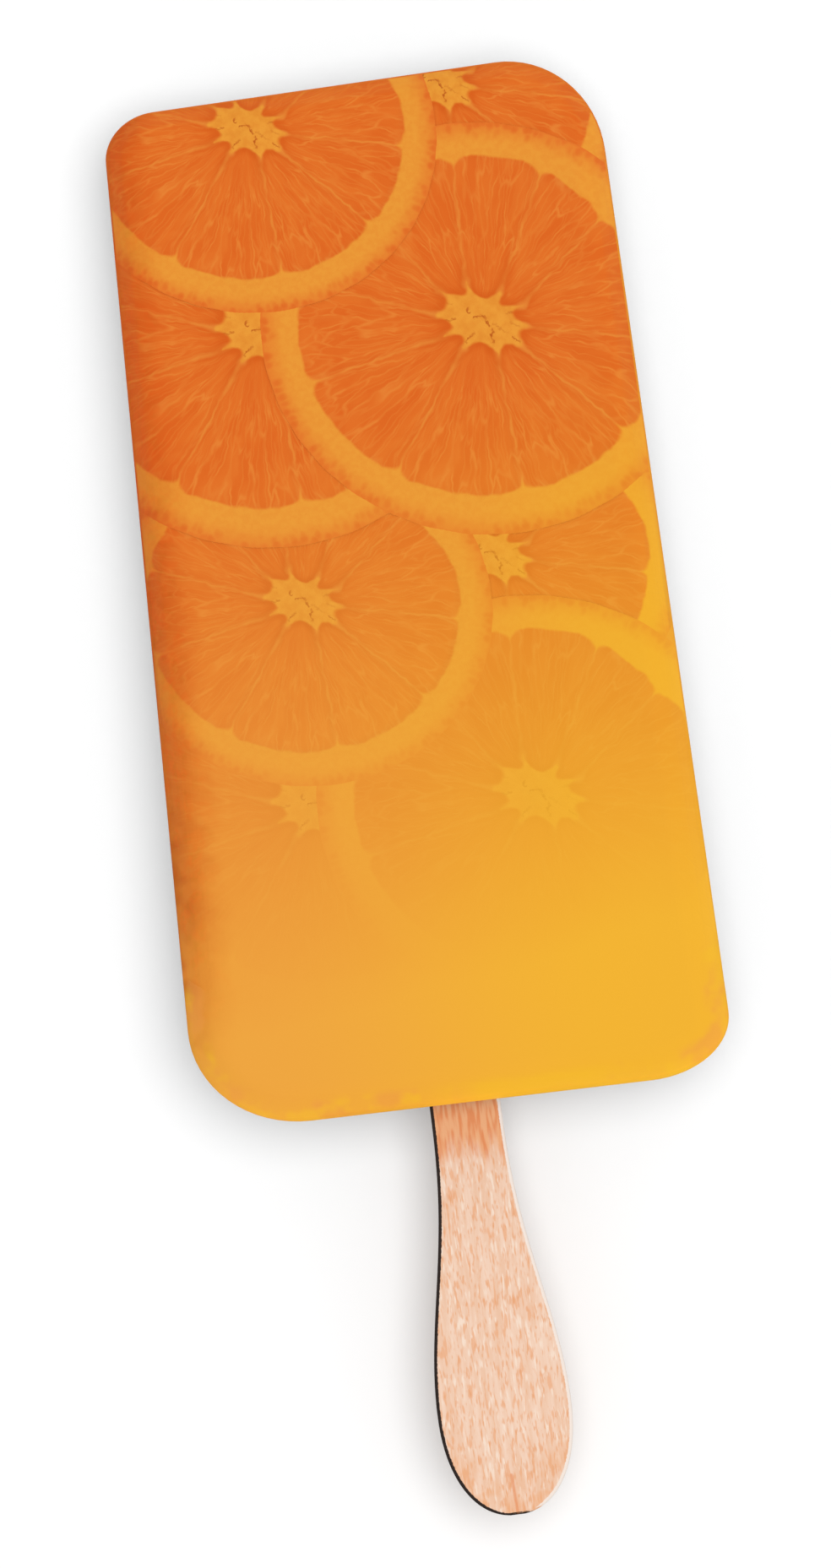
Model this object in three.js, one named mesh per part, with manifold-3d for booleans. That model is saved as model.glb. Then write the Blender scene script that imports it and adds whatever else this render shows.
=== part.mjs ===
// An ice lolly with fresh orange slices frozen into its face, lying on its flat back.
// Millimetres, +Z up: X runs across the lolly, +Y towards its tip and -Y along the stick.
// The origin is on the surface it lies on, under the middle of the block.
import * as THREE from 'three';
import { mergeVertices } from 'three/addons/utils/BufferGeometryUtils.js';
import Module from 'manifold-3d';

// ---- Driving dimensions: the block of ice ----

const tipY = 61.0; // where the tip edge crosses the middle line
const baseY = -59.3; // the end that the stick comes out of
const tipSkew = 0.0266; // the tip edge is cut a little out of square
const halfWidth = 30.42; // at Y = 0
const sideDraft = 0.0233; // each side widens this much per mm towards the stick
const thickness = 22; // at Y = 0
const faceDraft = 0.0417; // the block thickens this much per mm towards the stick

const shoulderDrop = 7; // how far the rounding of the face's rim reaches down the side
const shoulderInset = 4.5; // and how far it reaches inwards over the face
const shoulderSteps = 6;

// Corner roundings seen from above: along the end edge, and along the side.
const corners = {
  baseRight: { alongEnd: 10, alongSide: 7 },
  tipRight: { alongEnd: 11.4, alongSide: 12 },
  tipLeft: { alongEnd: 6.5, alongSide: 5.2 },
  baseLeft: { alongEnd: 13.5, alongSide: 12 },
};
const cornerSteps = 9;

// ---- Driving dimensions: the orange slices ----

const sliceThickness = 2.5;
const sliceDrape = 5; // slices at the rim bend over the shoulder down to here
const fleshSunk = 0.35; // the flesh lies this much below rind, membranes and pith
const reliefDrop = 1.5; // where the shoulder has dropped this far, the flesh is flush again
const smallFruit = 0.86; // the smaller fruit's slices against the larger one's

// One cut orange, larger fruit, measured from the middle of its pith.
const rind = { x: -0.16, y: -0.92, along: 25.9, across: 24.0, turn: -19 };
const flesh = { x: -0.14, y: -0.58, along: 21.6, across: 19.9, turn: -13 };
const rindSteps = 72;
const membraneWidth = 0.5;
const pithDent = 0.18; // how far a segment's inner end rounds into the pith
const segmentSteps = 24;
const segmentSquareness = 6; // exponent of the rounded segment outline

// Each membrane runs from a point of the star-shaped pith out to the rind.
const membranes = [
  { pithAngle: 346, pithRadius: 5.5, rindAngle: 349 },
  { pithAngle: 12, pithRadius: 5.2, rindAngle: 38 },
  { pithAngle: 54, pithRadius: 4.1, rindAngle: 63 },
  { pithAngle: 106, pithRadius: 4.7, rindAngle: 92 },
  { pithAngle: 132, pithRadius: 6.0, rindAngle: 126 },
  { pithAngle: 165, pithRadius: 5.0, rindAngle: 159 },
  { pithAngle: 198, pithRadius: 4.6, rindAngle: 193.5 },
  { pithAngle: 230, pithRadius: 3.8, rindAngle: 235 },
  { pithAngle: 290, pithRadius: 3.3, rindAngle: 276 },
  { pithAngle: 321, pithRadius: 5.3, rindAngle: 315 },
];

// Where the slices lie, by the middle of the pith, the second four one row further down.
// "under" names the slices that cover part of a slice. A film of ice lies over the last
// two, so that they show no relief.
const rowSpacing = 55.7;
const slices = [
  { letter: 'a', x: -12.2, y: 56.8, scale: smallFruit, under: '', iced: false },
  { letter: 'b', x: 12.5, y: 31.3, scale: 1, under: 'a', iced: false },
  { letter: 'c', x: -13.4, y: 32.8, scale: 1, under: 'ab', iced: false },
  { letter: 'd', x: 10.4, y: 59.6, scale: smallFruit, under: 'ab', iced: false },
  { letter: 'e', x: -12.2, y: 56.8 - rowSpacing, scale: smallFruit, under: 'bc', iced: false },
  { letter: 'f', x: 10.4, y: 59.6 - rowSpacing, scale: smallFruit, under: 'beg', iced: false },
  { letter: 'g', x: 12.5, y: 31.3 - rowSpacing, scale: 1, under: 'e', iced: true },
  { letter: 'h', x: -13.4, y: 32.8 - rowSpacing, scale: 1, under: 'eg', iced: true },
];

// ---- Driving dimensions: the stick ----

const stickEndY = -108.2;
const stickInnerEndY = 5; // 64 mm of it is in the ice
const stickThickness = 2.4;
const stickNeck = 4.17; // half width where it leaves the ice
const stickPaddle = 7.9; // half width at its widest
const flareStartY = -60;
const flareEndY = -95.5;
const flareEase = 1.25; // above 1, it widens later along the flare
const flareSteps = 12;
const stickEndSteps = 10;
const paddleSquareness = 2.2; // exponent of the paddle's rounded end, 2 for an ellipse
const stickBevel = 0.4;
const stickLean = 0.6; // degrees that it was frozen in out of line with the block
const stickShift = -0.9; // and how far off the middle it would pass the origin

const clearance = 0.3; // between pieces that touch
const margin = 10; // how far a cutting solid reaches past what it cuts

// ---- Solids ----

const wasm = await Module();
wasm.setup();

// A closed geometry as a solid that can be cut and joined.
function toSolid(geometry) {
  geometry.deleteAttribute('normal');
  geometry.deleteAttribute('uv');
  const merged = mergeVertices(geometry, 1e-4);
  const data = {
    numProp: 3,
    vertProperties: merged.attributes.position.array,
    triVerts: merged.index.array,
  };
  return new wasm.Manifold(new wasm.Mesh(data));
}

function toMesh(name, solid, material) {
  const data = solid.getMesh();
  const geometry = new THREE.BufferGeometry();
  geometry.setAttribute('position', new THREE.BufferAttribute(data.vertProperties, 3));
  geometry.setIndex(new THREE.BufferAttribute(data.triVerts, 1));
  geometry.computeVertexNormals();
  const mesh = new THREE.Mesh(geometry, material);
  mesh.name = name;
  return mesh;
}

// A closed skin over rings of points that all have the same count, lowest ring first.
function loft(rings) {
  const count = rings[0].length;
  const indices = [];
  for (let level = 0; level + 1 < rings.length; level++) {
    for (let i = 0; i < count; i++) {
      const low = level * count + i;
      const lowNext = level * count + ((i + 1) % count);
      indices.push(low, lowNext, lowNext + count);
      indices.push(low, lowNext + count, low + count);
    }
  }
  const top = (rings.length - 1) * count;
  for (let i = 1; i + 1 < count; i++) {
    indices.push(0, i + 1, i);
    indices.push(top, top + i, top + i + 1);
  }
  const geometry = new THREE.BufferGeometry().setFromPoints(rings.flat());
  geometry.setIndex(indices);
  return geometry;
}

// A vertical prism over an outline, tall enough to pass through the whole block.
function prism(points) {
  const shape = new THREE.Shape(points);
  const depth = 2 * thickness;
  const geometry = new THREE.ExtrudeGeometry(shape, { depth, bevelEnabled: false });
  geometry.translate(0, 0, -thickness / 2);
  return toSolid(geometry);
}

// ---- The block ----

const sideX = (y) => halfWidth - sideDraft * y;
const faceZ = (y) => thickness - faceDraft * y;

// Where a side edge meets the tip or the base edge, all of them moved inwards by inset.
function cornerPoint(right, atTip, inset) {
  const sign = right ? 1 : -1;
  const skew = atTip ? sign * tipSkew : 0;
  const endY = atTip ? tipY - inset : baseY + inset;
  const y = (endY + skew * (halfWidth - inset)) / (1 + skew * sideDraft);
  return new THREE.Vector2(sign * (sideX(y) - inset), y);
}

// Counterclockwise outline of the block seen from above, its edges moved inwards by inset.
function blockOutline(inset) {
  const points = {
    baseRight: cornerPoint(true, false, inset),
    tipRight: cornerPoint(true, true, inset),
    tipLeft: cornerPoint(false, true, inset),
    baseLeft: cornerPoint(false, false, inset),
  };
  const order = Object.keys(points);
  const outline = [];
  order.forEach((name, i) => {
    const corner = points[name];
    const before = points[order[(i + 3) % 4]].clone().sub(corner).normalize();
    const after = points[order[(i + 1) % 4]].clone().sub(corner).normalize();
    const onEnd = corners[name].alongEnd - inset;
    const onSide = corners[name].alongSide - inset;
    const sideFirst = name === 'tipRight' || name === 'baseLeft';
    const reachBefore = sideFirst ? onSide : onEnd;
    const reachAfter = sideFirst ? onEnd : onSide;
    for (let step = 0; step <= cornerSteps; step++) {
      const angle = (Math.PI / 2) * (step / cornerSteps);
      const point = corner.clone();
      point.addScaledVector(before, reachBefore * (1 - Math.sin(angle)));
      point.addScaledVector(after, reachAfter * (1 - Math.cos(angle)));
      outline.push(point);
    }
  });
  return outline;
}

// The block, its sides and face moved inwards by skin: the rim of the face and the rim of
// the back are both rounded off in an ellipse, and face and back are flat.
function block(skin) {
  const rings = [];
  const addRing = (angle, heightAt) => {
    const inset = skin + (shoulderInset - skin) * (1 - Math.sin(angle));
    rings.push(blockOutline(inset).map((p) => new THREE.Vector3(p.x, p.y, heightAt(p.y))));
  };
  const dropAt = (angle) => (shoulderDrop - skin) * (1 - Math.cos(angle));
  for (let step = 0; step <= shoulderSteps; step++) {
    const angle = (Math.PI / 2) * (step / shoulderSteps);
    addRing(angle, () => dropAt(angle));
  }
  for (let step = shoulderSteps; step >= 0; step--) {
    const angle = (Math.PI / 2) * (step / shoulderSteps);
    addRing(angle, (y) => faceZ(y) - skin - dropAt(angle));
  }
  return toSolid(loft(rings));
}

// Everything that lies higher than depth below the face, well past the block's sides.
function aboveDepth(depth) {
  const rings = [-depth, margin].map((rise) =>
    blockOutline(-margin).map((p) => new THREE.Vector3(p.x, p.y, faceZ(p.y) + rise)),
  );
  return toSolid(loft(rings));
}

// ---- The orange slices ----

// A point of a tilted ellipse, seen from the pith at the given angle in degrees.
function onEllipse(ellipse, degrees) {
  const turn = THREE.MathUtils.degToRad(ellipse.turn);
  const angle = THREE.MathUtils.degToRad(degrees) - turn;
  const point = new THREE.Vector2(ellipse.along * Math.cos(angle), ellipse.across * Math.sin(angle));
  point.rotateAround(new THREE.Vector2(), turn);
  return point.add(new THREE.Vector2(ellipse.x, ellipse.y));
}

function polar(degrees, radius) {
  const angle = THREE.MathUtils.degToRad(degrees);
  return new THREE.Vector2(radius * Math.cos(angle), radius * Math.sin(angle));
}

// Puts outline points of the larger fruit's cut where a slice lies.
function place(points, slice) {
  const middle = new THREE.Vector2(slice.x, slice.y);
  return points.map((p) => p.clone().multiplyScalar(slice.scale).add(middle));
}

function rindOutline(slice, grow) {
  const larger = { ...rind, along: rind.along + grow, across: rind.across + grow };
  const points = [];
  for (let step = 0; step < rindSteps; step++) points.push(onEllipse(larger, (360 * step) / rindSteps));
  return place(points, slice);
}

// One segment of flesh between two membranes: a four-sided patch from the pith to the
// rind with its corners rounded off.
function segmentOutline(first, second, slice) {
  const firstPith = polar(first.pithAngle, first.pithRadius);
  const secondPith = polar(second.pithAngle, second.pithRadius);
  const sweep = (second.rindAngle - first.rindAngle + 360) % 360;
  const patch = (across, outwards) => {
    const inner = firstPith.clone().lerp(secondPith, across);
    inner.multiplyScalar(1 - pithDent * Math.sin(Math.PI * across));
    const outer = onEllipse(flesh, first.rindAngle + sweep * across);
    return inner.lerp(outer, outwards);
  };
  const rounded = (value) => 0.5 + 0.5 * Math.sign(value) * Math.abs(value) ** (2 / segmentSquareness);
  const points = [];
  for (let step = 0; step < segmentSteps; step++) {
    const angle = (2 * Math.PI * (step + 0.5)) / segmentSteps;
    const outwards = rounded(Math.cos(angle));
    const width = patch(0, outwards).distanceTo(patch(1, outwards));
    const wall = membraneWidth / 2 / width;
    points.push(patch(wall + (1 - 2 * wall) * rounded(Math.sin(angle)), outwards));
  }
  return place(points, slice);
}

const wholeBlock = block(0);
const sliceLayer = wholeBlock.subtract(block(sliceThickness)).intersect(aboveDepth(sliceDrape));
const aboveFlesh = aboveDepth(reliefDrop).subtract(block(fleshSunk));

// The part of a slice that shows: inside its rind, outside the slices that lie on it, and
// with its segments of flesh sunk below the rest.
function sliceSolid(slice) {
  let region = prism(rindOutline(slice, 0));
  for (const letter of slice.under) {
    const cover = slices.find((other) => other.letter === letter);
    region = region.subtract(prism(rindOutline(cover, clearance)));
  }
  const disc = sliceLayer.intersect(region);
  if (slice.iced) return disc;
  const segments = membranes.map((membrane, i) => {
    const next = membranes[(i + 1) % membranes.length];
    return prism(segmentOutline(membrane, next, slice));
  });
  const sunk = segments.reduce((all, segment) => all.add(segment)).intersect(aboveFlesh);
  return disc.subtract(sunk);
}

// ---- The stick ----

function stickHalfWidth(y) {
  const along = (flareStartY - y) / (flareStartY - flareEndY);
  const eased = (1 - Math.cos(Math.PI * along ** flareEase)) / 2;
  return stickNeck + (stickPaddle - stickNeck) * eased;
}

// The stick from above, widened all round by grow: straight in the ice, with a round end,
// then flaring into a paddle with a rounded end.
function stickOutline(grow) {
  const right = [];
  for (let step = 0; step <= stickEndSteps; step++) {
    const point = polar(90 - (90 * step) / stickEndSteps, stickNeck + grow);
    right.push(point.add(new THREE.Vector2(0, stickInnerEndY - stickNeck)));
  }
  for (let step = 0; step < flareSteps; step++) {
    const y = flareStartY + (flareEndY - flareStartY) * (step / flareSteps);
    right.push(new THREE.Vector2(stickHalfWidth(y) + grow, y));
  }
  for (let step = 0; step <= stickEndSteps; step++) {
    const angle = (Math.PI / 2) * (step / stickEndSteps);
    const across = Math.cos(angle) ** (2 / paddleSquareness);
    const along = Math.sin(angle) ** (2 / paddleSquareness);
    const reach = flareEndY - stickEndY + grow;
    right.push(new THREE.Vector2((stickPaddle + grow) * across, flareEndY - reach * along));
  }
  const left = right.slice(1, -1).map((p) => new THREE.Vector2(-p.x, p.y));
  return [...right, ...left.reverse()];
}

// The stick, or the slot for it, halfway between back and face.
function stickSolid(grow, bevel) {
  const depth = stickThickness + 2 * grow - 2 * bevel;
  const geometry = new THREE.ExtrudeGeometry(new THREE.Shape(stickOutline(grow)), {
    depth,
    bevelEnabled: bevel > 0,
    bevelThickness: bevel,
    bevelSize: bevel,
    bevelOffset: -bevel,
    bevelSegments: 1,
  });
  geometry.translate(0, 0, -depth / 2);
  geometry.rotateX(-Math.atan(faceDraft / 2));
  geometry.rotateZ(THREE.MathUtils.degToRad(stickLean));
  geometry.translate(stickShift, 0, thickness / 2);
  return toSolid(geometry);
}

// ---- The ice, with its pocket for the slices and its slot for the stick ----

function iceSolid() {
  const layer = aboveDepth(sliceDrape + clearance).subtract(block(sliceThickness + clearance));
  const rinds = slices.map((slice) => prism(rindOutline(slice, clearance)));
  const pocket = rinds.reduce((all, rim) => all.add(rim)).intersect(layer);
  return wholeBlock.subtract(stickSolid(clearance, 0)).subtract(pocket);
}

const iceMaterial = new THREE.MeshStandardMaterial({ color: 0xefa63a, roughness: 0.35, metalness: 0 });
const fruitMaterial = new THREE.MeshStandardMaterial({ color: 0xe1702a, roughness: 0.4, metalness: 0 });
const woodMaterial = new THREE.MeshStandardMaterial({ color: 0xf3cdb4, roughness: 0.8, metalness: 0 });

const lolly = new THREE.Group();
lolly.add(toMesh('ice_block', iceSolid(), iceMaterial));
for (const slice of slices) {
  lolly.add(toMesh(`orange_slice_${slice.letter}`, sliceSolid(slice), fruitMaterial));
}
lolly.add(toMesh('stick', stickSolid(0, stickBevel), woodMaterial));

export default lolly;
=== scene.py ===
"""The looks of an ice lolly with orange slices frozen into its face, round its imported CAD."""

import math

import bmesh
import bpy
import numpy as np
from mathutils import Matrix, Vector


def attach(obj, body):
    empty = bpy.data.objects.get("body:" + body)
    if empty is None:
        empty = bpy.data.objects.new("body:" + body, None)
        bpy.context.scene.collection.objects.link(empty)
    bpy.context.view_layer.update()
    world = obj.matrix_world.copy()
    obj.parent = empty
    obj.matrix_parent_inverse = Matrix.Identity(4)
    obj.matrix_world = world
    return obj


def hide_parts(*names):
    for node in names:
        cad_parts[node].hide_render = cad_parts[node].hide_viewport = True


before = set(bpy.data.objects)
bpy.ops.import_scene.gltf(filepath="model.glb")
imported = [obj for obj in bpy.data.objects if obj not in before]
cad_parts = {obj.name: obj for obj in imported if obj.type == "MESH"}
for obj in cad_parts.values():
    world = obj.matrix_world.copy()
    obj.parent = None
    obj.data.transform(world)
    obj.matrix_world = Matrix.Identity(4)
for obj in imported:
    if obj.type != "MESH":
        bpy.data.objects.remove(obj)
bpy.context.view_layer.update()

# ---- The bar of fruit ice ----
# A bar of frozen orange juice, cast in a steel mould that draws in towards the tip so that
# the bar slips out, with rounded corners and a soft shoulder all round its face and its back.
# It is modelled in millimetres and brought to the frame's metres when it is finished.

MILLIMETRE = 0.001
TIP_Y, BASE_Y = 61.0, -59.3
HALF_WIDTH, SIDE_DRAFT = 30.42, 0.0233
THICKNESS, FACE_DRAFT = 22.0, 0.0417
# how much the edge at the tip slants: millimetres of y for each millimetre of x
TIP_SKEW = 0.0266
# (side, end): how far each corner's rounding reaches along the end edge and along the side
CORNERS = {(1, -1): (10, 7), (1, 1): (11.4, 12), (-1, 1): (6.0, 5.2), (-1, -1): (13.5, 12)}
SHOULDER_DROP, SHOULDER_INSET = 7.0, 4.5
CORNER_STEPS, SHOULDER_STEPS = 16, 14
INLAY_DEPTH = 2.5
# places nearer than this are the same, and a face whose normal rises so much lies flat
NEAR, LYING_FLAT = 0.01, 0.9
SMOOTH_BELOW = math.radians(35)


def face_z(y):
    return THICKNESS - FACE_DRAFT * y


def mould_corner(side, end, skin):
    """Where a side of the mould meets an end of it, both moved inwards by skin."""
    skew = side * TIP_SKEW if end > 0 else 0
    end_y = TIP_Y - skin if end > 0 else BASE_Y + skin
    y = (end_y + skew * (HALF_WIDTH - skin)) / (1 + skew * SIDE_DRAFT)
    return side * (HALF_WIDTH - SIDE_DRAFT * y - skin), y


def deselect_all():
    bpy.ops.object.select_all(action="DESELECT")


def pick(piece, kind, wanted):
    """In edit mode, selects the vertices, edges or faces that are wanted, and nothing else."""
    mesh = bmesh.from_edit_mesh(piece.data)
    bpy.context.tool_settings.mesh_select_mode = [kind == k for k in ("verts", "edges", "faces")]
    bpy.ops.mesh.select_all(action="DESELECT")
    for part in getattr(mesh, kind):
        if wanted(part):
            part.select_set(True)
    bmesh.update_edit_mesh(piece.data)


def is_rim(edge):
    """Whether an edge runs between a face that lies flat and one that stands."""
    return sum(abs(face.normal.z) > LYING_FLAT for face in edge.link_faces) == 1


def stretch(*value):
    """In edit mode, scales the whole mesh about the origin."""
    bpy.ops.mesh.select_all(action="SELECT")
    bpy.ops.transform.resize(value=value, center_override=(0, 0, 0))


def round_off(width, steps):
    """In edit mode, bevels the edges that are picked."""
    bpy.ops.mesh.bevel(offset=width, segments=steps, affect="EDGES", clamp_overlap=False)


def start_piece(name):
    """Names the primitive that was just added and opens it for editing."""
    piece = bpy.context.object
    piece.name = piece.data.name = name
    bpy.ops.object.mode_set(mode="EDIT")
    return piece


def cast_bar(name, skin):
    """The bar, or what is left inside it when its outer skin is taken off."""
    deselect_all()
    bpy.ops.mesh.primitive_cube_add(size=2)
    piece = start_piece(name)
    for side in (-1, 1):
        for end in (-1, 1):
            x, y = mould_corner(side, end, skin)
            for level, z in ((-1, skin), (1, face_z(y) - skin)):
                before = Vector((side, end, level))
                pick(piece, "verts", lambda v: (v.co - before).length < NEAR)
                bpy.ops.transform.translate(value=Vector((x, y, z)) - before)
    for (side, end), (on_end, on_side) in CORNERS.items():
        # squeezed until the corner's ellipse is a circle, rounded, and let out again
        squeeze = (on_side - skin) / (on_end - skin)
        x, y = mould_corner(side, end, skin)
        corner = Vector((x * squeeze, y))
        stretch(squeeze, 1, 1)
        pick(piece, "edges", lambda e: all((v.co.xy - corner).length < NEAR for v in e.verts))
        round_off(on_side - skin, CORNER_STEPS)
        stretch(1 / squeeze, 1, 1)
    inset, drop = SHOULDER_INSET - skin, SHOULDER_DROP - skin
    stretch(1, 1, inset / drop)
    pick(piece, "edges", is_rim)
    round_off(inset, SHOULDER_STEPS)
    stretch(1, 1, drop / inset)
    bpy.ops.object.mode_set(mode="OBJECT")
    return piece


def cut(piece, operation, other):
    """Joins, cuts or intersects a piece with another by a Boolean modifier, and applies it."""
    modifier = piece.modifiers.new("cut", "BOOLEAN")
    modifier.operation = operation
    modifier.solver = "MANIFOLD"
    modifier.object = other
    with bpy.context.temp_override(object=piece, active_object=piece, selected_objects=[piece]):
        bpy.ops.object.modifier_apply(modifier=modifier.name)


def copy_of(piece, name):
    twin = piece.copy()
    twin.data = piece.data.copy()
    twin.name = twin.data.name = name
    bpy.context.collection.objects.link(twin)
    return twin


def discard(*pieces):
    for piece in pieces:
        bpy.data.objects.remove(piece)


def apply_place():
    bpy.ops.object.transform_apply(location=True, rotation=True, scale=True)


def finish_piece(piece, material, slot, *nodes):
    """Brings a piece to metres, smooths it, dresses it, and lets it stand for its CAD nodes."""
    piece.data.transform(Matrix.Scale(MILLIMETRE, 4))
    deselect_all()
    piece.select_set(True)
    bpy.context.view_layer.objects.active = piece
    bpy.ops.object.shade_smooth_by_angle(angle=SMOOTH_BELOW)
    piece.data.materials.clear()
    piece.data.materials.append(material)
    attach(piece, "root")
    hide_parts(*nodes)


bar = cast_bar("fruit_ice_bar", 0)
core = cast_bar("bar_core", INLAY_DEPTH)

# The juice: deep orange at the tip, and paler and yellower towards the stick, where the
# syrup has settled. The same ice lies over the fruit, so its veil tints the slices too.

# a surface's own colour as a share of how it looks, since the light is stronger than white
PAINT_SHARE = 0.815


def wire(tree, kind, *values, **settings):
    """Adds a node and fills its inputs in order: a socket is linked, None is left as it is."""
    node = tree.nodes.new(kind)
    for key, value in settings.items():
        setattr(node, key, value)
    for socket, value in zip(node.inputs, values):
        if isinstance(value, bpy.types.NodeSocket):
            tree.links.new(value, socket)
        elif value is not None:
            socket.default_value = value
    return node


def calc(tree, operation, *values):
    return wire(tree, "ShaderNodeMath", *values, operation=operation).outputs[0]


def product(tree, mask, *others):
    for other in others:
        mask = calc(tree, "MULTIPLY", mask, other)
    return mask


def vector(tree, operation, *values):
    node = wire(tree, "ShaderNodeVectorMath", *values, operation=operation)
    gives_number = operation in ("LENGTH", "DISTANCE", "DOT_PRODUCT")
    return node.outputs["Value" if gives_number else "Vector"]


def take_apart(tree, place):
    return wire(tree, "ShaderNodeSeparateXYZ", place).outputs


def put_together(tree, x, y, z):
    return wire(tree, "ShaderNodeCombineXYZ", x, y, z).outputs[0]


def limit(tree, value, low, high):
    return wire(tree, "ShaderNodeClamp", value, low, high).outputs[0]


def even_change(tree, value, start, end, low, high):
    """A straight change from low to high while value goes from start to end."""
    return wire(tree, "ShaderNodeMapRange", value, start, end, low, high).outputs[0]


def step(tree, value, start, end, low=0.0, high=1.0):
    """A smooth change from low to high while value goes from start to end."""
    return wire(tree, "ShaderNodeMapRange", value, start, end, low, high,
                interpolation_type="SMOOTHSTEP").outputs[0]


def mix(tree, factor, first, second, blend="MIX"):
    between = [None] * 5
    node = wire(tree, "ShaderNodeMix", factor, *between, first, second,
                data_type="RGBA", blend_type=blend)
    return node.outputs[2]


def noise(tree, place, scale, detail=2.0):
    """Soft noise about 0.5, with scale in cycles per unit of place."""
    return wire(tree, "ShaderNodeTexNoise", place, None, scale, detail).outputs[0]


def colour_noise(tree, place, scale, detail):
    """Three noises at once, as a colour or a shift of place."""
    return wire(tree, "ShaderNodeTexNoise", place, None, scale, detail).outputs["Color"]


def paint(red, green, blue):
    """A surface's colour from how it looks in the studio, in the usual steps up to 255."""
    linear = [((c / 255 + 0.055) / 1.055) ** 2.4 for c in (red, green, blue)]
    return [c * PAINT_SHARE for c in linear] + [1.0]


def new_material(name):
    material = bpy.data.materials.new(name)
    material.use_nodes = True
    tree = material.node_tree
    return material, tree, tree.nodes["Principled BSDF"]


def finish_material(tree, shader, colour, roughness, bump_strength, bump_height, height, gloss):
    """Feeds the shader; bump_height is in metres, and gloss is a plain specular level."""
    bump = wire(tree, "ShaderNodeBump", bump_strength, bump_height, None, height).outputs[0]
    tree.links.new(colour, shader.inputs["Base Color"])
    tree.links.new(roughness, shader.inputs["Roughness"])
    tree.links.new(bump, shader.inputs["Normal"])
    shader.inputs["Specular IOR Level"].default_value = gloss


def in_millimetres(tree):
    coordinates = tree.nodes.new("ShaderNodeTexCoord").outputs["Object"]
    return vector(tree, "MULTIPLY", coordinates, [1 / MILLIMETRE] * 3)


def new_group(name, inputs, outputs):
    """An empty shader group with its sockets, and what goes in and out of it."""
    tree = bpy.data.node_groups.new(name, "ShaderNodeTree")
    for side, sockets in (("INPUT", inputs), ("OUTPUT", outputs)):
        for socket, kind in sockets.items():
            tree.interface.new_socket(socket, in_out=side, socket_type="NodeSocket" + kind)
    given = tree.nodes.new("NodeGroupInput").outputs
    return tree, given, tree.nodes.new("NodeGroupOutput").inputs


def use_group(tree, group, *values):
    return wire(tree, "ShaderNodeGroup", *values, node_tree=group).outputs


def depth_below_face(tree, y, z):
    """How far a place lies below the plane of the bar's face, in millimetres."""
    return calc(tree, "SUBTRACT", calc(tree, "MULTIPLY_ADD", y, -FACE_DRAFT, THICKNESS), z)


juice, given, result = new_group(
    "juice_veil", {"Colour": "Color", "Place": "Vector"}, {"Colour": "Color", "Painted Light": "Float"})
place = given["Place"]
x, y, z = take_apart(juice, place)
# how much of the fruit the ice hides: at the middle, and more towards the stick and the right
VEIL, VEIL_BY_Y, VEIL_BY_X, VEIL_CLOUDS, VEIL_CURVE = 0.33, -0.0148, 0.0025, 0.06, 1.15
cloud = calc(juice, "SUBTRACT", noise(juice, place, 0.09, 1), 0.5)
veil = calc(juice, "MULTIPLY_ADD", y, VEIL_BY_Y, VEIL)
veil = calc(juice, "MULTIPLY_ADD", x, VEIL_BY_X, veil)
veil = calc(juice, "MULTIPLY_ADD", cloud, VEIL_CLOUDS, veil)
veil = calc(juice, "POWER", limit(juice, veil, 0, 1), VEIL_CURVE)
SYRUP_LEFT, SYRUP_RIGHT = paint(238, 165, 64), paint(242, 179, 50)
syrup = mix(juice, step(juice, x, -26, 20), SYRUP_LEFT, SYRUP_RIGHT)
colour = mix(juice, veil, given["Colour"], syrup)
# painted shade: the left side, turned away from the lamp, is painted a deeper, redder orange with
# brownish mottles
LEFT_SHADE_TINT, LEFT_SHADE_RED_TINT = (0.87, 0.66, 0.63, 1), (0.92, 0.60, 0.53, 1)
LEFT_SHADE_BROWN_TINT = (0.80, 0.63, 0.52, 1)
ragged = product(juice, noise(juice, place, 0.22, 1), 3.0)
ragged = calc(juice, "MULTIPLY_ADD", noise(juice, place, 0.8), 1.4, ragged)
from_left = calc(juice, "MULTIPLY_ADD", y, -SIDE_DRAFT, calc(juice, "ADD", x, HALF_WIDTH))
left_shade = product(juice, step(juice, calc(juice, "ADD", from_left, ragged), 9.0, 3.6),
               step(juice, y, -56, -32), step(juice, y, 30, -5, 0.66, 1))
redder_shade = step(juice, noise(juice, place, 0.45, 1), 0.42, 0.62)
shade_mottles = step(juice, noise(juice, place, 0.9), 0.48, 0.7, 0, 0.7)
left_shade_colour = mix(juice, shade_mottles, mix(juice, redder_shade, LEFT_SHADE_TINT, LEFT_SHADE_RED_TINT), LEFT_SHADE_BROWN_TINT)
colour = mix(juice, left_shade, colour, left_shade_colour, "MULTIPLY")
# painted light: the rim is made lighter down the shoulder, most of all at the base, to lift the
# shade that falls on its rounding
LIT_RIM_DEPTH = 5.5
RIM_LIGHT_AT_SIDES, RIM_LIGHT_AT_BASE = 0.065, 0.097
below_face = depth_below_face(juice, y, z)
rim_depth = limit(juice, below_face, 0, LIT_RIM_DEPTH)
painted_rim_light = product(
    juice, calc(juice, "POWER", rim_depth, 0.85), calc(juice, "MULTIPLY_ADD", rim_depth, 0.1, 1),
    step(juice, below_face, 18.0, 4.0, 0.4, 1),
    step(juice, y, -50, -58.5, RIM_LIGHT_AT_SIDES, RIM_LIGHT_AT_BASE),
    calc(juice, "MULTIPLY_ADD", left_shade, -0.5, 1))
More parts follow.
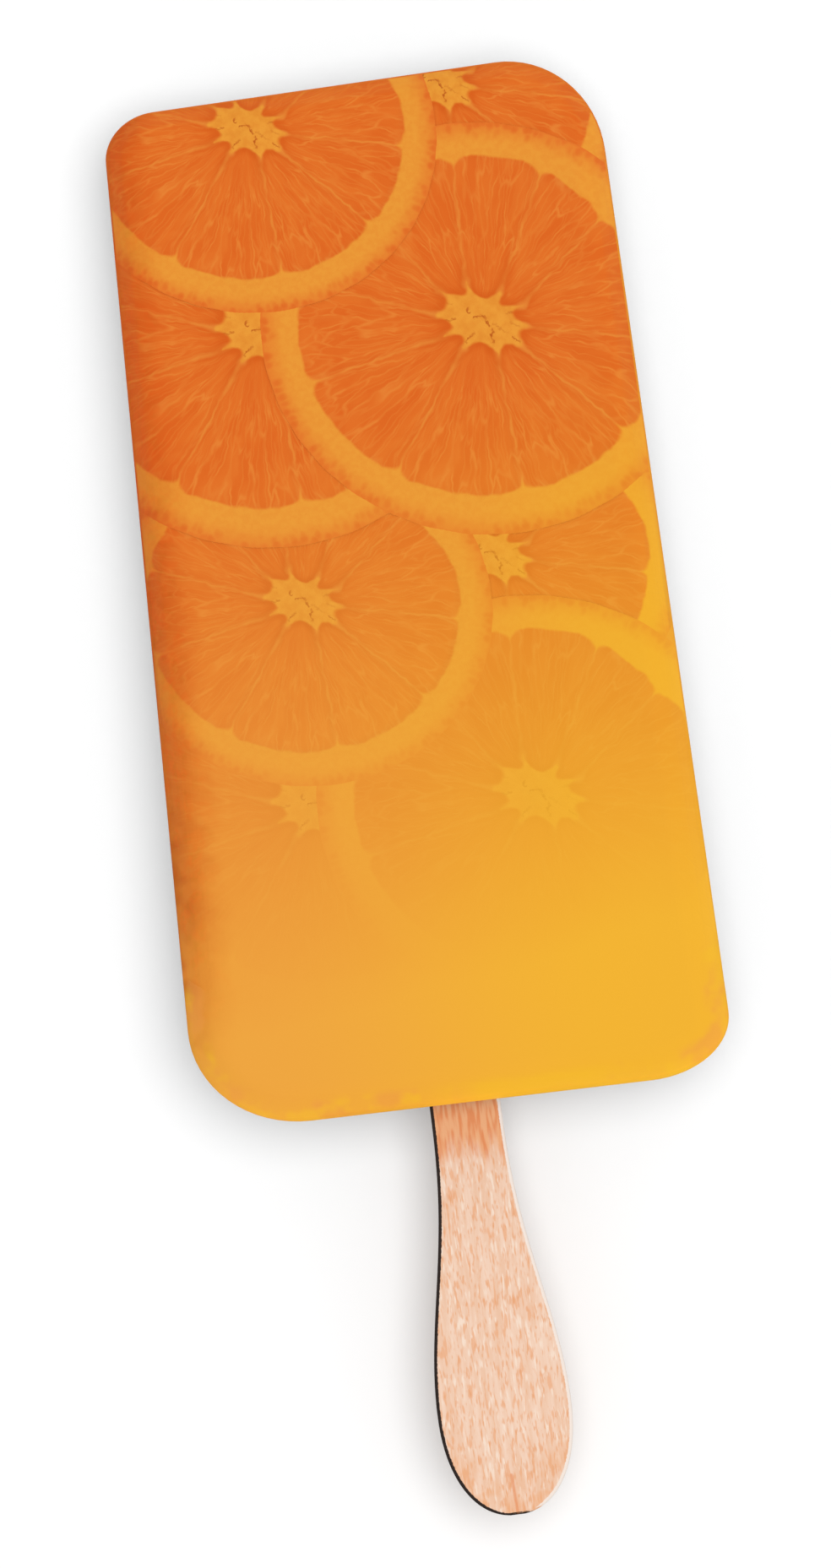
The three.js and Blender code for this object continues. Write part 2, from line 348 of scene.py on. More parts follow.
# and dark notch-like spots of painted shade along the lower left rim
LEFT_RIM_SHADE_TINT = (0.80, 0.66, 0.60, 1)
down_wall = vector(juice, "MULTIPLY", place, (1, 1, 0.2))
left_rim_shade_spots = product(
    juice, step(juice, from_left, 3.6, 0.4),
    step(juice, noise(juice, down_wall, 0.3, 1), 0.42, 0.7, 0, 0.8),
    step(juice, y, -57, -50), step(juice, y, -14, -28), step(juice, below_face, 9.5, 5.5))
colour = mix(juice, left_rim_shade_spots, colour, LEFT_RIM_SHADE_TINT, "MULTIPLY")
juice.links.new(colour, result["Colour"])
juice.links.new(painted_rim_light, result["Painted Light"])


def add_painted_light(tree, colour, painted_rim_light):
    """The colour with the painted light added to its red and its green."""
    return vector(tree, "MULTIPLY_ADD", colour, put_together(tree, painted_rim_light, painted_rim_light, 0), colour)


# the ice without syrup, which is yellower down the right side of the fruit
ICE_DARK, ICE_LIGHT, ICE_YELLOW = paint(226, 113, 38), paint(229, 122, 46), paint(233, 149, 48)
bare_ice, given, result = new_group(
    "bare_ice", {"Place": "Vector"}, {"Colour": "Color", "Frost": "Float"})
frost = noise(bare_ice, given["Place"], 0.8, 4)
colour = mix(bare_ice, step(bare_ice, frost, 0.35, 0.7), ICE_DARK, ICE_LIGHT)
x, y, _ = take_apart(bare_ice, given["Place"])
yellower = product(bare_ice, step(bare_ice, x, 10, 30), step(bare_ice, y, -30, -10),
                   step(bare_ice, y, 57, 40, 0.15, 1))
bare_ice.links.new(mix(bare_ice, yellower, colour, ICE_YELLOW), result["Colour"])
bare_ice.links.new(frost, result["Frost"])

TABLE_SIDE_GREY = (0.54, 0.54, 0.54, 1)


def keep_off_table(tree, colour):
    """What the table is lit by is a plain bar, so that its shadow stays grey and not orange."""
    bounced = tree.nodes.new("ShaderNodeLightPath").outputs["Is Diffuse Ray"]
    return mix(tree, bounced, colour, TABLE_SIDE_GREY)


FOOD_GLOSS = 0.03
ice, tree, shader = new_material("frozen_orange_juice")
place = in_millimetres(tree)
colour, frost = use_group(tree, bare_ice, place)
colour, painted_rim_light = use_group(tree, juice, colour, place)
# orange blotches and paler yellow streaks on the shoulder round the base, and over the stick an
# even paler band
BLOTCH, PALE_STREAK = paint(236, 154, 72), paint(244, 188, 42)
OVER_STICK_X = 8
x, y, z = take_apart(tree, place)
below_face = depth_below_face(tree, y, z)
at_rim = product(tree, step(tree, below_face, 0.2, 1.4), step(tree, below_face, 8.0, 3.5),
                 step(tree, y, -34, -46))
over_stick = calc(tree, "ABSOLUTE", calc(tree, "SUBTRACT", x, OVER_STICK_X))
over_stick = step(tree, over_stick, 14, 5)
down_wall = vector(tree, "MULTIPLY", place, (1, 1, 0.3))
blotches = product(tree, at_rim, step(tree, noise(tree, down_wall, 0.25, 2), 0.48, 0.66, 0, 0.55),
                   calc(tree, "MULTIPLY_ADD", over_stick, -0.8, 1))
colour = mix(tree, blotches, colour, BLOTCH)
pale_streaks = step(tree, noise(tree, down_wall, 0.3, 2), 0.5, 0.7, 0, 0.45)
pale_streaks = calc(tree, "MAXIMUM", pale_streaks, product(tree, over_stick, 0.45))
# the painted light on the rim is added last
colour = add_painted_light(tree, mix(tree, product(tree, at_rim, pale_streaks), colour, PALE_STREAK), painted_rim_light)
finish_material(tree, shader, keep_off_table(tree, colour),
                step(tree, frost, 0.3, 0.7, 0.38, 0.5), 0.12, 0.0002, frost, FOOD_GLOSS)

# ---- The orange slices ----
# Thin rounds cut across two oranges and pressed against the mould before the juice went in,
# so that they lie in the face of the bar and bend over its shoulder. Each shows only where no
# other slice covers it; the last two have frozen in behind a film of ice.

SLICE_DRAPE = 5.0
SMALL_FRUIT = 0.86
ROW_SPACING = 55.7
# letter: middle of the pith, size against the larger fruit, and the slices that cover it
SLICES = {
    "a": (-12.2, 56.8, SMALL_FRUIT, ""),
    "b": (12.5, 31.3, 1, "a"),
    "c": (-13.4, 32.8, 1, "ab"),
    "d": (10.4, 59.6, SMALL_FRUIT, "ab"),
    "e": (-12.2, 56.8 - ROW_SPACING, SMALL_FRUIT, "bc"),
    "f": (10.4, 59.6 - ROW_SPACING, SMALL_FRUIT, "beg"),
    "g": (12.5, 31.3 - ROW_SPACING, 1, "e"),
    "h": (-13.4, 32.8 - ROW_SPACING, 1, "eg"),
}
ICED_OVER = "gh"
# middle, half axes and turn of the cut fruit's skin and of its flesh, from the pith
RIND = (-0.16, -0.92, 25.9, 24.0, math.radians(-19))
FLESH = (-0.14, -0.58, 21.6, 19.9, math.radians(-13))
RIND_RADIUS, FLESH_RADIUS = 24.95, 20.7
# angle and distance of each tip of the starry pith, and where its membrane meets the rind
MEMBRANES = (
    (345, 5.2, 349), (14, 5.0, 38), (51, 3.6, 63), (107, 4.8, 92), (138, 6.0, 126),
    (166, 5.1, 159), (196, 4.7, 193.5), (229, 3.8, 235), (292, 3.4, 276), (321.5, 5.1, 315),
)
# the solid middle of the pith, and how far out its starry points reach
PITH = (0, 0, 4.3, 2.3, math.radians(-28))
PITH_POINTS = (0, 0, 5.6, 3.8, math.radians(-28))
PITH_SLOPE = 3
# a flattened stretch of the flesh's edge: which way it lies, and how far from the pith
FLAT_WAY = Vector((math.cos(math.radians(42)), math.sin(math.radians(42)), 0))
FLAT_REACH = 18.7
# each changes evenly, written as where it starts and ends and its values there: how softly
# membranes meet and how round the segments' corners are, by the distance from the pith, and
# how thick the pith's points are, by the share of their ellipse
MEMBRANE_FILLET = (4, 12, 1.3, 0.9)
POINT_THICKNESS = (0.45, 1.1, 0.95, -0.3)
SEGMENT_CORNER = (10, 19, 1.6, 3.2)
STAR_FILLET, FLAT_FILLET = 1.4, 3.0
# farther from a membrane than any place is
NO_WALL = 99.0
# the skin is pebbled by its oil glands, and dented a little
RIND_POINTS, GLANDS_ROUND, DENTS_ROUND = 500, 118, 31
PEBBLE, DENT = 0.0022, 0.7
# frozen flesh shrinks below its membranes, in low ridges that follow its juice sacs
FLESH_SUNK = 0.16
SAC_RIDGE, SACS_ROUND = 0.025, 38
# the sheet that presses the flesh down, and how far it stays off what isn't pressed
SHEET_CELLS, SHEET_HALF_SIZE, SHEET_LIFT = (150, 140), (23.5, 22), 0.03
# tools for cutting, each larger than what it cuts
CUTTER_HEIGHT, WELL_ABOVE, BLOCK = 80, 60, 200
# a slice's UV map spans this much of the larger fruit
CUT_SPAN = 60


def from_pith(degrees, distance):
    angle = math.radians(degrees)
    return Vector((distance * math.cos(angle), distance * math.sin(angle), 0))


def on_flesh_edge(degrees):
    x, y, along, across, turn = FLESH
    angle = math.radians(degrees) - turn
    point = Vector((along * math.cos(angle), across * math.sin(angle), 0))
    return Matrix.Rotation(turn, 3, "Z") @ point + Vector((x, y, 0))


# the stretches of membrane: inside the pith, and from the pith out to the rind
WALLS = [(Vector((0, 0, 0)), from_pith(angle, distance)) for angle, distance, _ in MEMBRANES]
WALLS += [(from_pith(angle, distance), on_flesh_edge(outer))
          for angle, distance, outer in MEMBRANES]


def rind_cutter(letter):
    """A tall cylinder over the whole round of a slice, with its pebbled skin."""
    x, y, size, _ = SLICES[letter]
    rind_x, rind_y, along, across, turn = RIND
    deselect_all()
    bpy.ops.mesh.primitive_cylinder_add(
        vertices=RIND_POINTS, radius=1, depth=CUTTER_HEIGHT, location=(0, 0, 0))
    cutter = bpy.context.object
    for vertex in cutter.data.vertices:
        angle = math.atan2(vertex.co.y, vertex.co.x)
        pebbled = abs(math.sin(GLANDS_ROUND * angle + 3 * math.sin(5 * angle)))
        pebbled += DENT * math.sin(DENTS_ROUND * angle + 2 * math.sin(3 * angle))
        vertex.co.xy *= 1 + PEBBLE * pebbled
    cutter.rotation_euler.z = turn
    cutter.location = (x + rind_x * size, y + rind_y * size, 0)
    cutter.scale = (along * size, across * size, 1)
    apply_place()
    return cutter


def soft_min(first, second, width):
    """The smaller of two distances, rounded where they are nearly the same."""
    overlap = np.maximum(width - np.abs(first - second), 0) / width
    return np.minimum(first, second) - overlap ** 3 * width / 6


def ramp(value, start, end):
    part = np.clip((value - start) / (end - start), 0, 1)
    return part * part * (3 - 2 * part)


def even_ramp(value, start, end, low, high):
    return np.interp(value, (start, end), (low, high))


def ellipse_reach(x, y, ellipse):
    """1 on the ellipse, less inside it."""
    middle_x, middle_y, along, across, turn = ellipse
    x, y = x - middle_x, y - middle_y
    u = (x * math.cos(turn) + y * math.sin(turn)) / along
    v = (y * math.cos(turn) - x * math.sin(turn)) / across
    return np.hypot(u, v)


def relief(x, y):
    """How far the cut surface lies below the rind, at places of the larger fruit."""
    radius = np.hypot(x, y)
    fillet = even_ramp(radius, *MEMBRANE_FILLET)
    wall = np.full_like(radius, NO_WALL)
    for start, end in WALLS:
        reach = end - start
        along = ((x - start.x) * reach.x + (y - start.y) * reach.y) / reach.length_squared
        along = np.clip(along, 0, 1)
        distance = np.hypot(x - start.x - reach.x * along, y - start.y - reach.y * along)
        wall = soft_min(wall, distance, fillet)
    points = wall - even_ramp(ellipse_reach(x, y, PITH_POINTS), *POINT_THICKNESS)
    star = soft_min(points, (ellipse_reach(x, y, PITH) - 1) * PITH_SLOPE, STAR_FILLET)
    inside_rim = (1 - ellipse_reach(x, y, FLESH)) * FLESH_RADIUS
    inside_rim = soft_min(inside_rim, FLAT_REACH - x * FLAT_WAY.x - y * FLAT_WAY.y, FLAT_FILLET)
    edge = soft_min(star, inside_rim, even_ramp(radius, *SEGMENT_CORNER))
    sacs = SAC_RIDGE * np.sin(SACS_ROUND * np.arctan2(y, x) + 1.5 * np.sin(radius))
    sacs = sacs * ramp(radius, 6, 12) * ramp(edge, 0.6, 1.5)
    sunk = FLESH_SUNK * ramp(edge, -0.1, 0.9) * (0.5 + 0.5 * ramp(wall, 0.05, 0.9)) - sacs
    return np.where(edge > -0.1, sunk, (edge + 0.1) * 0.5)


def sink_flesh(piece, letter):
    """Presses the segments of flesh below rind, membranes and pith."""
    x, y, size, _ = SLICES[letter]
    deselect_all()
    bpy.ops.mesh.primitive_grid_add(x_subdivisions=SHEET_CELLS[0], y_subdivisions=SHEET_CELLS[1],
                                    size=2, location=(x, y, WELL_ABOVE))
    sheet = bpy.context.object
    sheet.scale = (SHEET_HALF_SIZE[0] * size, SHEET_HALF_SIZE[1] * size, 1)
    apply_place()
    press = sheet.modifiers.new("press", "SHRINKWRAP")
    press.target = bar
    press.wrap_method = "PROJECT"
    press.use_project_z = press.use_negative_direction = True
    press.use_positive_direction = False
    bpy.ops.object.modifier_apply(modifier=press.name)
    points = np.empty((len(sheet.data.vertices), 3), np.float32)
    sheet.data.vertices.foreach_get("co", points.ravel())
    sunk = relief((points[:, 0] - x) / size, (points[:, 1] - y) / size)
    drop = face_z(points[:, 1]) - points[:, 2]
    # the hollow runs out where the shoulder of the bar begins, and past it the sheet lifts off
    level = 1 - ramp(drop, 0.1, 1.6)
    points[:, 2] += np.where(drop > 3, 3.0, SHEET_LIFT - (sunk + SHEET_LIFT) * level)
    sheet.data.vertices.foreach_set("co", points.ravel())
    bpy.ops.object.mode_set(mode="EDIT")
    bpy.ops.mesh.select_all(action="SELECT")
    bpy.ops.mesh.extrude_region_move(TRANSFORM_OT_translate={"value": (0, 0, WELL_ABOVE)})
    bpy.ops.mesh.select_all(action="SELECT")
    bpy.ops.mesh.normals_make_consistent(inside=False)
    bpy.ops.object.mode_set(mode="OBJECT")
    cut(piece, "DIFFERENCE", sheet)
    discard(sheet)


# a block whose underside is parallel to the face, as deep as the slices drape
deselect_all()
bpy.ops.mesh.primitive_cube_add(size=BLOCK, rotation=(-math.atan(FACE_DRAFT), 0, 0))
above = bpy.context.object
underside = Vector((0, 0, THICKNESS - SLICE_DRAPE))
above.location = underside + above.rotation_euler.to_matrix() @ Vector((0, 0, BLOCK / 2))
apply_place()

skin_of_bar = copy_of(bar, "skin_of_bar")
cut(skin_of_bar, "DIFFERENCE", core)
cut(skin_of_bar, "INTERSECT", above)

cutters = {letter: rind_cutter(letter) for letter in SLICES}
slices = {}
for letter, (x, y, size, covers) in SLICES.items():
    piece = slices[letter] = copy_of(skin_of_bar, "orange_round_" + letter)
    cut(piece, "INTERSECT", cutters[letter])
    for cover in covers:
        cut(piece, "DIFFERENCE", cutters[cover])
    if letter not in ICED_OVER:
        sink_flesh(piece, letter)
    piece.data.uv_layers.new(name="cut")
    corners = piece.data.attributes["cut"].data
    for loop, corner in zip(piece.data.loops, corners):
        point = piece.data.vertices[loop.vertex_index].co
        corner.vector = ((point.x - x) / size / CUT_SPAN + 0.5,
                         (point.y - y) / size / CUT_SPAN + 0.5)

pocket = copy_of(cutters["a"], "pocket")
for letter in "bcdefgh":
    cut(pocket, "UNION", cutters[letter])
cut(pocket, "INTERSECT", above)
cut(pocket, "DIFFERENCE", core)
cut(bar, "DIFFERENCE", pocket)
discard(pocket, above, core, skin_of_bar, *cutters.values())

# The cut fruit: pith and albedo of a warm pale orange, flesh in ten segments of long juice
# sacs, and a row of oil glands under the skin. Places are in millimetres of the larger fruit.

wall_distance, given, result = new_group(
    "distance_to_wall", {"Point": "Vector", "Start": "Vector", "End": "Vector"},
    {"Distance": "Float"})
reach = vector(wall_distance, "SUBTRACT", given["End"], given["Start"])
offset = vector(wall_distance, "SUBTRACT", given["Point"], given["Start"])
along = calc(wall_distance, "DIVIDE", vector(wall_distance, "DOT_PRODUCT", offset, reach),
             vector(wall_distance, "DOT_PRODUCT", reach, reach))
along = limit(wall_distance, along, 0, 1)
nearest = vector(wall_distance, "SCALE", reach, None, None, along)
wall_distance.links.new(vector(wall_distance, "DISTANCE", offset, nearest), result["Distance"])

fruit, tree, shader = new_material("orange_slice")
uv = wire(tree, "ShaderNodeUVMap", uv_map="cut").outputs[0]
point = vector(tree, "MULTIPLY_ADD", uv, (CUT_SPAN, CUT_SPAN, 0),
               (-CUT_SPAN / 2, -CUT_SPAN / 2, 0))
waver = vector(tree, "SUBTRACT", colour_noise(tree, point, 0.45, 2), (0.5, 0.5, 0.5))
bent = vector(tree, "MULTIPLY_ADD", waver, (0.9, 0.9, 0), point)
radius = vector(tree, "LENGTH", bent)


def ellipse_share(tree, place, ellipse):
    """1 on the ellipse, less inside it."""
    middle_x, middle_y, along, across, turn = ellipse
    local = wire(tree, "ShaderNodeMapping", place, (middle_x, middle_y, 0), (0, 0, turn),
                 (along, across, 1), vector_type="TEXTURE").outputs[0]
    return vector(tree, "LENGTH", local)


fillet = even_change(tree, radius, *MEMBRANE_FILLET)
wall = NO_WALL
for start, end in WALLS:
    distance = use_group(tree, wall_distance, bent, start, end)["Distance"]
    wall = calc(tree, "SMOOTH_MIN", distance, wall, fillet)
points = even_change(tree, ellipse_share(tree, bent, PITH_POINTS), *POINT_THICKNESS)
points = calc(tree, "SUBTRACT", wall, points)
solid = calc(tree, "MULTIPLY_ADD", ellipse_share(tree, bent, PITH), PITH_SLOPE, -PITH_SLOPE)
star = calc(tree, "SMOOTH_MIN", points, solid, STAR_FILLET)
inside_rim = ellipse_share(tree, bent, FLESH)
inside_rim = calc(tree, "MULTIPLY_ADD", inside_rim, -FLESH_RADIUS, FLESH_RADIUS)
flat = calc(tree, "SUBTRACT", FLAT_REACH, vector(tree, "DOT_PRODUCT", bent, FLAT_WAY))
inside_rim = calc(tree, "SMOOTH_MIN", inside_rim, flat, FLAT_FILLET)
edge = calc(tree, "SMOOTH_MIN", star, inside_rim, even_change(tree, radius, *SEGMENT_CORNER))
in_flesh = step(tree, edge, -0.15, 0.3)

# juice sacs: thin pale walls of cells that are drawn out from the pith to the rind
far_x, far_y, _ = take_apart(tree, vector(tree, "NORMALIZE", bent))
drift = colour_noise(tree, point, 0.13, 1)


def round_pith(count, along):
    """Coordinates that are squeezed round the pith, count times, and lie along the radius."""
    return put_together(tree, product(tree, far_x, count), product(tree, far_y, count), along)


def drawn_out(count, length, bend, offset):
    """Noise that is squeezed round the pith and stretched along the radius."""
    place = round_pith(count, calc(tree, "DIVIDE", radius, length))
    place = vector(tree, "MULTIPLY_ADD", drift, [bend] * 3, place)
    return noise(tree, vector(tree, "ADD", place, [offset] * 3), 1.0, 2)


# the angle round the pith, with its jump hidden behind one of the membranes
TURN_TO_MEMBRANE = math.radians(18.5)
turned = wire(tree, "ShaderNodeVectorRotate", bent, None, None, TURN_TO_MEMBRANE,
              rotation_type="Z_AXIS").outputs[0]
turned_x, turned_y, _ = take_apart(tree, turned)
angle = calc(tree, "ARCTAN2", turned_y, turned_x)


def sac_walls(count, length, bend, offset, width):
    """The walls of pointed sacs, with count of them to a radian."""
    across, along = product(tree, angle, count), calc(tree, "DIVIDE", radius, length)
    place = put_together(tree, across, product(tree, along, 0.4), offset)
    along = calc(tree, "MULTIPLY_ADD", noise(tree, place, 1.1, 1), 2.2, along)
    place = put_together(tree, across, along, 0)
    place = vector(tree, "MULTIPLY_ADD", drift, (bend, bend, 0), place)
    place = vector(tree, "ADD", place, (offset, offset, 0))
    cells = wire(tree, "ShaderNodeTexVoronoi", place, None, 1.0,
                 feature="DISTANCE_TO_EDGE", voronoi_dimensions="2D")
    return step(tree, cells.outputs["Distance"], width, 0.0)


FLESH_DARK, FLESH_LIGHT, SAC_WALL = paint(221, 102, 33), paint(225, 112, 39), paint(229, 130, 52)
LOBE, MEMBRANE = paint(214, 93, 26), paint(230, 139, 56)
strong = step(tree, noise(tree, point, 0.35, 2), 0.38, 0.62)
coarse = product(tree, sac_walls(8, 8.0, 1.1, 3.0, 0.10),
                 calc(tree, "MULTIPLY_ADD", strong, 0.6, 0.3))
fine = product(tree, sac_walls(15, 7.0, 1.5, 9.0, 0.13), step(tree, radius, 4, 10, 0.2, 0.4))
hair = product(tree, step(tree, drawn_out(26, 11.0, 2.4, 20.0), 0.5, 0.75, 0, 0.22),
               step(tree, drawn_out(4, 6.0, 1.0, 70.0), 0.35, 0.65, 0.2, 1))
streaks = calc(tree, "MAXIMUM", coarse, calc(tree, "MAXIMUM", fine, hair))
depth = drawn_out(8, 6.0, 2.0, 40.0)
flesh = mix(tree, step(tree, depth, 0.3, 0.7), FLESH_DARK, FLESH_LIGHT)
flesh = mix(tree, streaks, flesh, SAC_WALL)
# each segment ends at the pith in a deeper, rounded lobe
lobe = product(tree, step(tree, radius, 9, 5), step(tree, edge, 1.4, 0.3, 0.15, 0.8))
flesh = mix(tree, lobe, flesh, LOBE)
flare = even_change(tree, radius, 4.5, 9, 0.55, 0.27)
membrane = product(tree, step(tree, wall, flare, 0.0),
                   step(tree, noise(tree, point, 0.3, 2), 0.32, 0.65, 0.2, 0.78))
flesh = mix(tree, membrane, flesh, MEMBRANE)

ALBEDO_DARK, ALBEDO_LIGHT = paint(232, 147, 52), paint(234, 153, 55)
PITH_DARK, PITH_LIGHT = paint(228, 142, 49), paint(235, 155, 56)
grain = noise(tree, point, 1.3, 3)
pale = mix(tree, step(tree, grain, 0.35, 0.65), ALBEDO_DARK, ALBEDO_LIGHT)
pith = step(tree, noise(tree, point, 0.7, 3), 0.3, 0.65)
pale = mix(tree, step(tree, radius, 9, 7), pale, mix(tree, pith, PITH_DARK, PITH_LIGHT))
# the pith has torn a little as it froze: each tear as its points, and how dark it is
TEARS = (
    (((-0.9, 0.45), (0.1, 0.5), (0.45, 0.1), (0.55, -0.4), (0.85, -0.75)), 0.9),
    (((1.1, -1.1), (1.05, -1.5), (0.85, -1.8), (0.9, -2.35), (1.15, -2.75)), 0.9),
    (((-2.2, -2.35), (-1.9, -2.0), (-1.1, -1.35)), 0.8),
    (((-1.45, 1.6), (-1.65, 1.4), (-1.55, 1.2), (-1.3, 1.1)), 0.8),
    (((-4.5, 0.4), (-4.1, 0.45), (-3.9, 0.5), (-3.2, 0.5)), 0.6),
    (((3.3, -2.3), (3.7, -2.7), (4.1, -3.0)), 0.8),
    (((1.2, -0.5), (2.0, -1.2), (2.7, -1.8)), 0.4),
    (((3.0, 0.45), (3.9, 0.55), (4.1, 0.7)), 0.45),
    (((-3.9, 2.6), (-3.3, 2.2)), 0.35),
    (((3.3, -0.7), (4.2, -1.2)), 0.3),
)
# its colour, and how far to each side of its line it shows
TEAR, TEAR_REACH = paint(182, 78, 22), 0.19
rough = vector(tree, "MULTIPLY_ADD", colour_noise(tree, point, 3.0, 4), (0.9, 0.9, 0),
               vector(tree, "SUBTRACT", point, (0.45, 0.45, 0)))
tear = 0.0
for stops, darkness in TEARS:
    nearest = 9.0
    for start, end in zip(stops, stops[1:]):
        distance = use_group(tree, wall_distance, rough, (*start, 0), (*end, 0))["Distance"]
        nearest = calc(tree, "MINIMUM", distance, nearest)
    tear = calc(tree, "MAXIMUM", step(tree, nearest, TEAR_REACH, 0.0, 0, darkness), tear)
tear = product(tree, tear, step(tree, noise(tree, point, 1.5, 2), 0.3, 0.6, 0.4, 1))
pale = mix(tree, tear, pale, TEAR)

# the oil glands stand in a row, like blunt teeth, and the peel's orange fades out between them
PEEL_DARK, PEEL_LIGHT, SYRUPY = paint(223, 109, 38), paint(227, 117, 43), paint(243, 186, 34)
under_skin = ellipse_share(tree, point, RIND)
under_skin = calc(tree, "MULTIPLY_ADD", under_skin, -RIND_RADIUS, RIND_RADIUS)
row = round_pith(26, product(tree, under_skin, 0.7))
glands = wire(tree, "ShaderNodeTexVoronoi", row, None, 1.0).outputs["Distance"]
teeth = step(tree, calc(tree, "MULTIPLY_ADD", under_skin, 0.22, glands), 0.9, 0.4)
faded = calc(tree, "MULTIPLY_ADD", noise(tree, point, 0.8, 3), 0.9, under_skin)
zest = product(tree, step(tree, faded, 3.3, 0.2), calc(tree, "MULTIPLY_ADD", teeth, 0.45, 0.72))
zest = calc(tree, "MAXIMUM", zest, step(tree, under_skin, 0.6, 0.0, 0, 0.95))
peel = mix(tree, step(tree, glands, 0.1, 0.6), PEEL_DARK, PEEL_LIGHT)

place = in_millimetres(tree)
x, y, z = take_apart(tree, place)
# to the right the yellow syrup has soaked into rind and pith more than into the flesh
syrupy = product(tree, step(tree, x, 4, 28, 0, 0.55), step(tree, y, 30, -8))
colour = mix(tree, syrupy, pale, SYRUPY)
peel = mix(tree, product(tree, syrupy, 0.4), peel, SYRUPY)
colour = mix(tree, in_flesh, mix(tree, zest, colour, peel), flesh)
# below the drape there is ice, and towards the stick it covers the fruit and hides it
bare_or_lit = use_group(tree, bare_ice, place)["Colour"]
colour = mix(tree, step(tree, depth_below_face(tree, y, z), 4.4, SLICE_DRAPE), colour, bare_or_lit)
colour = mix(tree, step(tree, y, -22, -53), colour, bare_or_lit)
# the ice's veil, its painted shade on the left and its painted light on the rim tint the slices
# too
colour = add_painted_light(tree, *use_group(tree, juice, colour, place))
height = calc(tree, "MULTIPLY_ADD", streaks, 0.5, product(tree, grain, 0.3))
height = calc(tree, "SUBTRACT", height, tear)
finish_material(tree, shader, keep_off_table(tree, colour),
                step(tree, in_flesh, 0, 1, 0.55, 0.4), 0.25, 0.0001, height, FOOD_GLOSS)

for letter, piece in slices.items():
    finish_piece(piece, fruit, "orange_slice", "orange_slice_" + letter)

# ---- The stick ----
# A flat stick of pale birch, stamped out with a round paddle at the holding end and frozen
# in halfway through the bar. Its stamped edge has painted shade on one side and the end, and a
# painted highlight on the other side; juice has soaked into the wood where it leaves the ice.

STICK_INNER_Y, STICK_END_Y = 5.0, -108.2
NECK, PADDLE = 4.17, 7.9
FLARE_START, FLARE_END = -60.0, -95.5
ROUND_END = FLARE_END - STICK_END_Y
# above 2 the round end is blunter than an ellipse
BLUNTNESS = 2.2
STICK_THICKNESS = 2.4
ARRIS, ARRIS_STEPS, FACE_MARGIN = 0.3, 3, 0.25
# a face whose normal rises so much is the top, and not the arris beside it
FACING_UP = 0.99
STICK_X, STICK_LEAN = -0.9, math.radians(0.6)


def stick_half_width(y):
    along = min(max((FLARE_START - y) / (FLARE_START - FLARE_END), 0), 1)
    width = NECK + (PADDLE - NECK) * (1 - math.cos(math.pi * along ** 1.25)) / 2
    if y > STICK_INNER_Y - NECK:
        return math.sqrt(max(NECK ** 2 - (y - STICK_INNER_Y + NECK) ** 2, 0))
    if y < FLARE_END:
        past = min((FLARE_END - y) / ROUND_END, 1)
        return width * (1 - past ** BLUNTNESS) ** (1 / BLUNTNESS)
    return width


stations = [STICK_INNER_Y - NECK * (1 - math.cos(math.radians(a))) for a in range(12, 91, 6)]
stations += [-10, -20, -30, -40, -50, -58] + [FLARE_START - i for i in range(1, 36)]
stations += [FLARE_END - ROUND_END * math.sin(math.radians(a)) ** (2 / BLUNTNESS)
             for a in range(4, 88, 3)]
deselect_all()
bpy.ops.mesh.primitive_plane_add(
    size=2, rotation=(math.pi / 2, 0, 0), location=(0, stations[0], 0))
stick = bpy.context.object
stick.scale = (stick_half_width(stations[0]), STICK_THICKNESS / 2, 1)
apply_place()
start_piece("flat_stick")
bpy.ops.mesh.select_all(action="SELECT")
for before, y in zip(stations, stations[1:]):
    bpy.ops.mesh.extrude_region_move(TRANSFORM_OT_translate={"value": (0, y - before, 0)})
    bpy.ops.transform.resize(value=(stick_half_width(y) / stick_half_width(before), 1, 1))
bpy.ops.mesh.select_all(action="SELECT")
bpy.ops.mesh.normals_make_consistent(inside=False)
pick(stick, "edges", is_rim)
round_off(ARRIS, ARRIS_STEPS)
pick(stick, "faces", lambda f: f.normal.z > FACING_UP)
bpy.ops.mesh.inset(thickness=FACE_MARGIN, depth=0)
bpy.ops.object.mode_set(mode="OBJECT")

# how far each point of the edge has painted shade, or a painted highlight on the other side
EDGE_BAND = 0.42
SHADED_WAY, LIT_WAY = Vector((-0.85, -0.53)), Vector((1.0, 0.1))
for name in ("shaded_edge", "lit_edge"):
    stick.data.attributes.new(name, "FLOAT", "POINT")
shaded, bare_or_lit = (stick.data.attributes[name].data for name in ("shaded_edge", "lit_edge"))
for vertex, dark, light in zip(stick.data.vertices, shaded, bare_or_lit):
    x, y, z = vertex.co
    slope = (stick_half_width(y + 0.05) - stick_half_width(y - 0.05)) / 0.1
    outward = Vector((math.copysign(1, x), -slope)).normalized()
    from_edge = (stick_half_width(y) - abs(x)) / math.hypot(1, slope)
    on_edge = z < STICK_THICKNESS / 2 - NEAR or from_edge < EDGE_BAND
    dark.value = on_edge * min(max((outward @ SHADED_WAY - 0.1) / 0.25, 0), 1)
    light.value = on_edge * min(max((outward @ LIT_WAY - 0.2) / 0.3, 0), 1)

stick.rotation_euler = (-math.atan(FACE_DRAFT / 2), 0, STICK_LEAN)
stick.location = (STICK_X, 0, THICKNESS / 2)
stick.select_set(True)
bpy.context.view_layer.objects.active = stick
apply_place()
cut(bar, "DIFFERENCE", stick)

WOOD_DARK, WOOD_LIGHT = paint(240, 197, 167), paint(245, 212, 189)
PALE_FLECK, TAN_FLECK = paint(248, 223, 203), paint(238, 174, 130)
BROWN_FLECK, HELD, SPLIT = paint(233, 160, 108), paint(238, 170, 118), paint(232, 148, 98)
SOAKED_LIGHT, SOAKED_DARK = paint(241, 176, 128), paint(232, 146, 94)
